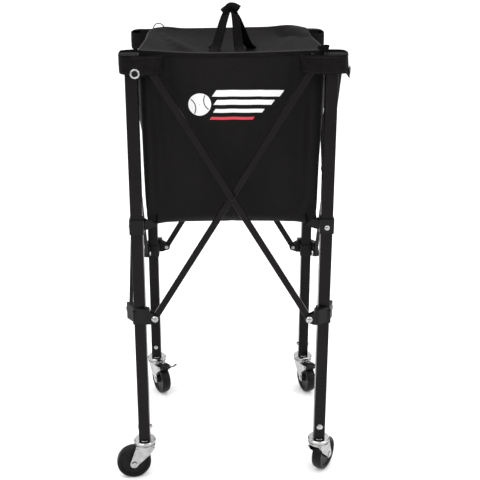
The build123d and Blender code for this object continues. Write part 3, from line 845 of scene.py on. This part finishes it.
def strap_route():
    """Plan route of a corner strap: from the front wall, round the leg and back to the side wall."""
    w, s, end = FRONT_W, SIDE_W, STRAP_IN
    plan = (
        (end, -HALF - 0.0030),
        (end + 0.0012, -0.204),
        (end + 0.0045, -0.216),
        (end + 0.011, -w + 0.0035),
        (end + 0.022, -w),
        (0.188, -w),
        (s - 0.026, -w + 0.0022),
        (s - 0.0092, -w + 0.0092),
        (s - 0.0022, -w + 0.026),
        (s, -0.186),
        (s, -end - 0.022),
        (s - 0.0035, -end - 0.011),
        (s - 0.013, -end - 0.0045),
        (0.206, -end - 0.0012),
        (HALF + 0.0030, -end),
    )
    return through([(x, y, 0) for x, y in plan], 5)


def lathe(name, profile, centre, corner, material):
    """A round part on a strap's right-hand face: the metal grommet, or the dark disc of painted shade in its
    hole. profile is (radius, height off the face) pairs.
    """
    vertices, sides = [], 28
    for radius, height in profile:
        for j in range(sides):
            turn = 2 * pi * j / sides
            vertices.append(Vector(centre) + Vector((height, radius * cos(turn), radius * sin(turn))))
    faces = [face[::-1] for face in ring_faces(len(profile), sides)]
    return link_mesh(name, turned(corner, vertices), faces, material)


def make_strap(corner, webbing, thread, metal, dark):
    """One doubled strap with its closed top, stitching and grommet, whose hole is a dark plastic disc of
    painted shade.
    """
    seed = 3.7 * (CORNERS.index(corner) + 1)
    route = strap_route()
    rows, low_line, high_line, outward = [], [], [], []
    for k, place in enumerate(route):
        ahead = tangent_at(route, k)
        out = Vector((ahead.y, -ahead.x, 0))
        share = k / (len(route) - 1)
        lively = bump01(share) * 0.6 + 0.4
        ruffle = 0.0009 * noise.noise(Vector((share * 7, seed, 0)))
        hang = near((place - Vector((SIDE_W, GROMMET_Y, 0))).length, 0.0, 0.0135)
        low = STRAP_LOW - TONGUE[corner] * hang + 0.0012 * noise.noise(Vector((share * 5, seed, 4)))
        high = STRAP_TOP + 0.0010 * noise.noise(Vector((share * 6, seed, 9))) * lively
        row = []
        for j in range(9):
            up = j / 8
            belly = 0.0005 * bump01(up) + ruffle * (up - 0.4) + CURL[corner] * hang * (1 - up) ** 2
            row.append(place + out * belly + Vector((0, 0, low + (high - low) * up)))
        rows.append(row)
        outward.append(out)
        edge = out * (STRAP_THICK / 2)
        low_line.append(row[0].lerp(row[8], 0.10) + edge)
        high_line.append(row[0].lerp(row[8], 0.90) + edge)
    flat_rows = [turned(corner, row) for row in rows]
    band = grid_sheet(f"{corner}_strap_band", flat_rows, STRAP_THICK, webbing)

    inner, count = HALF + 0.0035, CAP_CELLS
    reach_x, reach_y = SIDE_W - CAP_INSET - inner, FRONT_W - CAP_INSET - inner
    top = []
    for a in range(count + 1):
        row = []
        for b in range(count + 1):
            dx, dy = reach_x * a / count, reach_y * b / count
            over = Vector((dx - reach_x + CAP_ROUND, dy - reach_y + CAP_ROUND))
            if min(over) > 0:  # the outer corner is round
                over = over.normalized() * max(over)
                dx, dy = reach_x - CAP_ROUND + over.x, reach_y - CAP_ROUND + over.y
            fall = 0.0016 * max(a / count, b / count) ** 8
            dent = 0.0016 * noise.noise(Vector((dx * 45, dy * 45, seed)))
            dent *= bump01(a / count) * bump01(b / count)
            row.append((inner + dx, -inner - dy, STRAP_TOP + 0.0004 - fall + dent))
        top.append(turned(corner, row[::-1]))
    cap = grid_sheet(f"{corner}_strap_top", top, STRAP_THICK, webbing)

    sewn = []
    for line in (low_line, high_line):
        sewn.append(stitches(turned(corner, line), turned(corner, outward), thread))
    for k in STRAP_SEAMS:
        edge = outward[k] * (STRAP_THICK / 2)
        seam = [rows[k][0].lerp(rows[k][8], 0.10 + 0.80 * j / 6) + edge for j in range(7)]
        sewn.append(stitches(turned(corner, seam), turned(corner, [outward[k]] * 7), thread))
    sewing = joined(f"{corner}_strap_stitching", sewn)

    centre = (SIDE_W + STRAP_THICK / 2 + 0.0006 + 0.5 * CURL[corner], GROMMET_Y, GROMMET_Z)
    ring = lathe(f"{corner}_grommet", GROMMET_RING, centre, corner, metal)
    # the dark plastic disc inside the ring is painted shade for the grommet's hole
    hole_shade_disc = lathe(f"{corner}_grommet_hole", GROMMET_HOLE_SHADE, centre, corner, dark)
    return band, cap, sewing, ring, hole_shade_disc


EAR_BOLT = 0.1597 * 2**0.5  # from the middle to the ear's bolt, on the diagonal
EAR_CHEEK = 0.0125  # and on to the ear's outer cheek
TAB_FLAT = (0.023, 0.028)


def make_tab(corner, webbing):
    """The webbing tab that the ear's bolt clamps, from below the bolt up into the bag's corner."""
    lo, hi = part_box("front_right_straps")[0].z, BAG_BOTTOM + 0.004
    rows = []
    for k in range(9):
        up = k / 8
        z = lo + (hi - lo) * up
        half = TAB_FLAT[0] / 2 - 0.003 * (1 - up) ** 4
        depth = EAR_BOLT + EAR_CHEEK + 0.0010 * bump01(up)
        row = []
        for j in range(7):
            side = half * (2 * j / 6 - 1)
            row.append(((depth - side) / 2**0.5, (-depth - side) / 2**0.5, z))
        rows.append(turned(corner, row))
    return grid_sheet(f"{corner}_bottom_tab", rows, 0.0014, webbing)


# ---------------------------------------------------------------- handle

HANDLE_WIDTH = 0.024
FEET = {(-1, -1): 0.038, (-1, 1): 0.022, (1, -1): 0.036, (1, 1): 0.046}  # x of each foot, by (loop, end)


def handle_line(side, lid_vertices):
    """A loop's line from its left foot over the grip to its right foot, and its width's direction."""
    points, across = [], []
    for mirror in (-1, 1):
        foot = FEET[side, mirror]
        half_line = [
            (foot + 0.004, 0.074, 0.0),
            (foot + 0.002, 0.054, 0.0),
            (foot, 0.039, 0.004),
            (foot * 0.78, 0.024, 0.020),
            (foot * 0.20 + 0.0070, 0.0115, 0.042),
            (0.0066, 0.0045, 0.058),
        ]
        some, turns = [], []
        for k, (x, y, lift) in enumerate(half_line):
            sewn_on = height_over(lid_vertices, mirror * x, side * y) + 0.0022
            base = sewn_on if lift < 0.03 else HANDLE_BASE
            some.append((mirror * x, side * y, base + lift))
            angle = radians(-12 + 70 * (k / (len(half_line) - 1)) ** 0.8)
            turns.append(Vector((cos(angle), -mirror * side * sin(angle), 0)))
        if mirror > 0:
            some, turns = some[::-1], turns[::-1]
        points += some
        across += turns
    steps = 5
    line = through(points, steps)
    spread = []
    for k in range(len(line)):
        a, t = divmod(k, steps)
        one, two = across[a], across[min(a + 1, len(across) - 1)]
        if one.dot(two) < 0:
            two = -two
        now = one.lerp(two, t / steps)
        spread.append(-now if spread and now.dot(spread[-1]) < 0 else now)
    return line, spread


def make_handle(side, name, lid_vertices, webbing, thread):
    """One loop, the crossed box of stitches at each foot, and the loop's line."""
    line, spread = handle_line(side, lid_vertices)
    rows = ribbon_rows(line, spread, HANDLE_WIDTH, cup=-0.0008)
    strap = grid_sheet(f"{name}_webbing", rows, 0.0020, webbing)
    sewn = []
    for first, last in ((0, 6), (-7, -1)):
        a, b = rows[first], rows[last]
        box = [p + UP * 0.0012 for p in (a[1], b[1], b[5], a[5], a[1], b[5])]
        sewn.append(stitches(box, [UP] * len(box), thread, pitch=0.0035, length=0.0024))
    return strap, joined(f"{name}_stitching", sewn), line


WRAP_WIDE, WRAP_TALL = 0.0076, 0.0090  # half the grip's width and height
WRAP_SPINE = (  # x and y, and height over the grip's lowest point
    (WRAP_LO.x + 0.0010, 0.0005, 0.0025),
    (-0.0085, 0.0, 0.0090),
    (-0.0005, -0.0005, 0.0170),
    (0.0085, 0.0, 0.0150),
    (WRAP_HI.x + 0.0005, 0.0008, 0.0090),
)


def make_wrap(fabric):
    """The grip: a padded wrap folded over both loops, its left end lower than its right."""
    spine = through([(x, y, WRAP_LO.z + lift) for x, y, lift in WRAP_SPINE], 8)
    sides = 28
    vertices, uvs = [], []
    for k, centre in enumerate(spine):
        share = k / (len(spine) - 1)
        tangent = tangent_at(spine, k)
        up = (UP - tangent * tangent.z).normalized()
        out = tangent.cross(up)
        flare = 1.0 + 0.10 * (2 * share - 1) ** 4 - 0.10 * near(share, 0.5, 0.22)
        for j in range(sides):
            turn = 2 * pi * j / sides
            ripple = 1 + 0.10 * noise.noise(Vector((share * 4.5, cos(turn) * 1.3, sin(turn) * 1.3)))
            lap = 1.09 if 0.55 < j / sides < 0.80 else 1.0  # the flap's overlapped edge
            fat = flare * ripple * lap
            vertices.append(centre + out * (cos(turn) * WRAP_WIDE * fat) + up * (sin(turn) * WRAP_TALL * fat))
            uvs.append((share * 0.036, j * 0.0019))
    return link_mesh("grip_wrap_cloth", vertices, capped_faces(len(spine), sides), fabric, uvs)


# ---------------------------------------------------------------- zip and print

def surface(piece):
    """A search tree over a made sheet."""
    bm = bmesh.new()
    bm.from_mesh(piece.data)
    tree = BVHTree.FromBMesh(bm)
    bm.free()
    return tree


def on_cloth(tree, guess, outward, lift):
    """The place on a panel's outer face nearest to a guess, raised a little."""
    place, *_ = tree.find_nearest(guess + outward * 0.012)
    return place + outward * lift


TAPE_WIDTH = 0.0105
ZIP_ENDS = {"left": (-0.80, 0.985), "front": (-0.985, 0.985), "right": (-0.985, 0.80)}
TOOTH = 0.0028  # one tooth's length along the coil


def laid_along(points, width, count):
    """count + 1 evenly spaced places along a line of points, as far as width from its start."""
    made, gone, k = [points[0]], 0.0, 0
    for j in range(1, count + 1):
        target = width * j / count
        while k < len(points) - 2 and gone + (points[k + 1] - points[k]).length < target:
            gone += (points[k + 1] - points[k]).length
            k += 1
        span = points[k + 1] - points[k]
        made.append(points[k] + span * ((target - gone) / max(span.length, 1e-6)))
    return made


def make_zip(side, start, end, tree, tape, coil_metal):
    """The zip along one side of the bag's mouth: tape sewn to the wall, with the closed coil above it."""
    outward = OUTWARD[side]
    count = round((end - start) * HALF / TOOTH)
    rows, line = [], []
    for k in range(count + 1):
        t = start + (end - start) * k / count
        mouth = rim_point(side, t)
        top = [mouth - outward * 0.0006 + UP * 0.0022, mouth + outward * 0.0012 + UP * 0.0004]
        below = [wall_point(side, t, 1 - drop / BAG_HEIGHT) for drop in (0.003, 0.006, 0.010)]
        whole = top + [on_cloth(tree, guess, outward, 0.0008) for guess in below]
        rows.append(laid_along(whole, TAPE_WIDTH, 5)[::-1])
        line.append(mouth + outward * 0.0006 + UP * 0.0020)
    band = grid_sheet(f"zip_tape_{side}", rows, 0.0007, tape)
    ribbed = []
    for a, b in zip(line, line[1:]):
        ribbed += [a, a.lerp(b, 0.5)]
    ribbed.append(line[-1])
    radii = [0.0011 if k % 2 else 0.0016 for k in range(len(ribbed))]
    return band, tube(f"zip_coil_{side}", ribbed, radii, coil_metal)


ZIP_TAB_WIDTH = 0.013
ZIP_TAB_ROUTE = (
    (0.1760, -0.1870, 0.0055),
    (0.1840, -0.1895, 0.0080),
    (0.1915, -0.1900, 0.0090),
    (0.1965, -0.1875, 0.0080),
    (0.1975, -0.1790, 0.0060),
)


def make_zip_tab(webbing):
    """The folded webbing tab at the right-hand end of the zip, standing up beside the strap."""
    line = through([(x, y, BAG_TOP + lift) for x, y, lift in ZIP_TAB_ROUTE], 5)
    rows = ribbon_rows(line, [Vector((0.15, 0, 1))] * len(line), ZIP_TAB_WIDTH)
    return grid_sheet("zip_end_tab", rows, 0.0018, webbing), line


CORD_THICK = 0.0024
CORD_ROUTE = (
    (-0.0135, 0.000, -0.0020),
    (-0.0120, 0.001, 0.0060),
    (-0.0070, 0.002, 0.0120),
    (0.0000, 0.002, 0.0140),
    (0.0070, 0.002, 0.0115),
    (0.0130, 0.001, 0.0050),
    (0.0150, 0.000, -0.0020),
)


def make_cord(material):
    """The thin elastic loop sewn in at the rear left of the mouth."""
    base = Vector((-0.172, HALF - 0.003, BAG_TOP + 0.0035))
    line = through([base + Vector(p) for p in CORD_ROUTE], 8)
    return tube("rear_elastic_loop", line, [CORD_THICK / 2] * len(line), material), line


def ink_rows(tree, rows, lift=0.00025):
    """Puts rows of (x, z) places on the front wall."""
    outward = OUTWARD["front"]
    made = []
    for row in rows:
        hits = [tree.ray_cast(Vector((x, -HALF - 0.06, z)), -outward)[0] for x, z in row]
        made.append([hit + outward * lift for hit in hits])
    return made


BALL = (-0.066, 0.882, 0.0235)  # x and z of the printed ball's middle, and its radius
STRIPES = (  # part, left, right, height of its middle, width
    ("top", -0.036, 0.104, 0.905, 0.0135),
    ("middle", -0.034, 0.086, 0.886, 0.0105),
    ("low", -0.036, 0.066, 0.868, 0.0080),
    ("red", -0.044, 0.046, 0.852, 0.0060),
)
STRIPE_SLANT = 0.70
INK_THICK = 0.0002


def make_print(tree, white, red, gap_ink):
    """A plain ball with three speed lines behind it, and one red line: no lettering."""
    centre_x, centre_z, radius = BALL
    rings, spokes = 10, 48
    turns = [2 * pi * j / spokes for j in range(spokes + 1)]
    disc = []
    for k in range(rings + 1):
        r = 0.0008 + (radius - 0.0008) * k / rings
        disc.append([(centre_x + r * cos(turn), centre_z + r * sin(turn)) for turn in turns])
    pieces = [grid_sheet("print_ball", ink_rows(tree, disc), INK_THICK, white)]
    for mirror in (-1, 1):
        seam = []
        for k in range(25):
            angle = radians(-47 + 94 * k / 24)
            row = []
            for r in (0.0196, 0.0216):
                x = mirror * (0.0305 - r * cos(angle))
                row.append((centre_x + 0.9 * x - 0.25 * r * sin(angle), centre_z + r * sin(angle) + 0.25 * x))
            seam.append(row[::mirror])
        name = f"print_seam_{'left' if mirror < 0 else 'right'}"
        pieces.append(grid_sheet(name, ink_rows(tree, seam, 0.00045), INK_THICK, gap_ink))
    for part, left, right, z, height in STRIPES:
        steps = round((right - left) / 0.0025)
        rows = []
        for k in range(steps + 1):
            x = left + (right - left) * k / steps
            shares = [j / 4 - 0.5 for j in range(5)]
            rows.append([(x + STRIPE_SLANT * height * share, z + height * share) for share in shares])
        ink = red if part == "red" else white
        pieces.append(grid_sheet(f"print_stripe_{part}", ink_rows(tree, rows), INK_THICK, ink))
    return pieces


# ---------------------------------------------------------------- assembly

cloth = woven("bag_nylon", (0.0046, 0.0040, 0.0040), (0.0078, 0.0070, 0.0068), 0.46, 0.010, 0.07)
# the lid's own copy of the walls' nylon: the same fabric, given a slightly lighter colour and less gloss and
# sheen to suit how the top light falls on it; its lighter colour is painted light
lid_cloth = woven("lid_nylon", (0.0048, 0.0043, 0.0042), (0.0092, 0.0082, 0.0080), 0.42, 0.006, 0.012)
webbing = webbing_cloth()
thread = thread_material()
coat = powder_coat()
plastic = moulded_plastic()
bright_zinc = zinc("bright_zinc", 0.10)
caster_zinc = zinc("caster_zinc", 0.11)
rubber = tread_rubber()
ink_white = print_ink("ink_white", (0.80, 0.80, 0.80))
ink_red = print_ink("ink_red", (0.62, 0.03, 0.05))

make_camera()
make_studio()


FINISHES = (
    (("_leg", "_bar"), coat),
    (("bracket", "slider", "brake_lever"), plastic),
    (("hardware", "bolts", "pull"), bright_zinc),
    (("fork",), caster_zinc),
    (("wheel",), rubber),
)


def finish_of(node):
    """The material of a CAD node that is shown as it is."""
    for endings, material in FINISHES:
        if node.endswith(endings):
            return material
    return cloth if node.startswith("bag") else webbing


for node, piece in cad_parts.items():
    for holder in piece.material_slots:
        holder.material = finish_of(node)


def settle(piece, body, replaced=(), along=None):
    """Gives a piece its body and hides the nodes it replaces. along only decides whether the piece gets its
    own copy of its mesh.
    """
    if replaced:
        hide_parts(*replaced)
    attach(piece, body)
    if along is not None:
        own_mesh(piece)


PANEL_BODY = {
    "front": "front_left_leg",
    "left": "front_left_leg",
    "right": "front_right_leg",
    "rear": "rear_left_leg",
    "bottom_front": "bag_bottom_front",
    "bottom_rear": "bag_bottom_rear",
}
panels = make_bag(cloth)
for panel, piece in panels.items():
    node = piece.name.removesuffix("_cloth")
    along = (0, 1, 0) if panel in ("left", "right") else (1, 0, 0)
    settle(piece, PANEL_BODY[panel], [node], along)

lid_parts, lid_vertices = make_lid(lid_cloth)
for part, piece in lid_parts.items():
    settle(piece, f"bag_lid_{part}", [f"bag_lid_{part}"], (1, 0, 0))

for corner in CORNERS:
    band, cap, sewing, ring, hole_shade_disc = make_strap(corner, webbing, thread, bright_zinc, plastic)
    settle(band, f"{corner}_leg", [f"{corner}_straps"])
    # the grommet's hole disc is painted shade, in dark plastic
    for piece, slot in ((cap, "webbing"), (sewing, "webbing"), (ring, "zinc_fasteners"), (hole_shade_disc, "webbing")):
        settle(piece, f"{corner}_leg")
    tab = make_tab(corner, webbing)
    settle(tab, f"{corner}_leg")

for side, node in ((-1, "handle_front_loop"), (1, "handle_rear_loop")):
    strap, sewing, line = make_handle(side, node, lid_vertices, webbing, thread)
    settle(strap, node, [node], (1, 0, 0))
    settle(sewing, node, along=(1, 0, 0))
wrap = make_wrap(webbing)
settle(wrap, "handle_front_loop", ["handle_grip_wrap"], (1, 0, 0))

for side, (start, end) in ZIP_ENDS.items():
    band, coil = make_zip(side, start, end, surface(panels[side]), webbing, thread)
    along = (1, 0, 0) if side == "front" else (0, 1, 0)
    for piece in (band, coil):
        settle(piece, PANEL_BODY[side], along=along)

zip_tab, zip_tab_line = make_zip_tab(webbing)
settle(zip_tab, "front_right_leg")

elastic, elastic_line = make_cord(thread)
settle(elastic, PANEL_BODY["rear"], along=(1, 0, 0))

for piece in make_print(surface(panels["front"]), ink_white, ink_red, cloth):
    settle(piece, PANEL_BODY["front"], along=(1, 0, 0))
